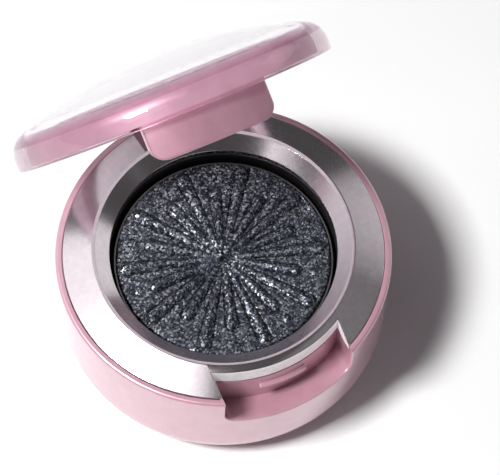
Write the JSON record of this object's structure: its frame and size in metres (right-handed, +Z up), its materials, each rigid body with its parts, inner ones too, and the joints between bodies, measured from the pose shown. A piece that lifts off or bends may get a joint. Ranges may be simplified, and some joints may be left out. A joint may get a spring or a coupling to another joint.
{
  "type": "eyeshadow compact",
  "caption": "Round eyeshadow compact with a pressed-powder pan in a raised metallised bezel, and a clear-domed hinged lid with a front closing tab.",
  "frame": {"origin": "centre of the base's flat underside", "axes": "+Z up out of the powder, +Y towards the hinge, so the closing tab's notch faces -Y; +X along the hinge pin"},
  "size_m": [0.0398, 0.045, 0.0466],
  "materials": {
    "pearl_pink": "glossy pearl pink injection moulding",
    "lid_pink": "glossy dusty pink injection moulding",
    "liner_pearl": "satin pearl-white moulding",
    "metallised_bezel": "satin vacuum-metallised plastic, silver with a mauve tint",
    "black_tray": "black moulded plastic",
    "pan_metal": "plain drawn metal pan",
    "adhesive": "soft glue disc",
    "charcoal_powder": "pressed charcoal powder dense with silver glitter",
    "pin_steel": "drawn steel pin",
    "clear_dome": "clear polished plastic, faintly pink"
  },
  "bodies": {
    "base": {"base_shell": "pearl_pink", "bezel_ring": "metallised_bezel", "pan_tray": "black_tray", "eyeshadow_pan": "pan_metal", "pan_adhesive": "adhesive", "powder_cake": "charcoal_powder", "hinge_pin": "pin_steel"},
    "lid": {"lid_cup": "lid_pink", "lid_liner": "liner_pearl", "lid_dome": "clear_dome"}
  },
  "joints": [
    {"name": "lid_hinge", "type": "hinge", "parent": "base", "child": "lid", "pos_m": [0, 0.017, 0.0111], "axis": [-1, 0, 0], "range_deg": [-61.6, 43.4]}
  ]
}
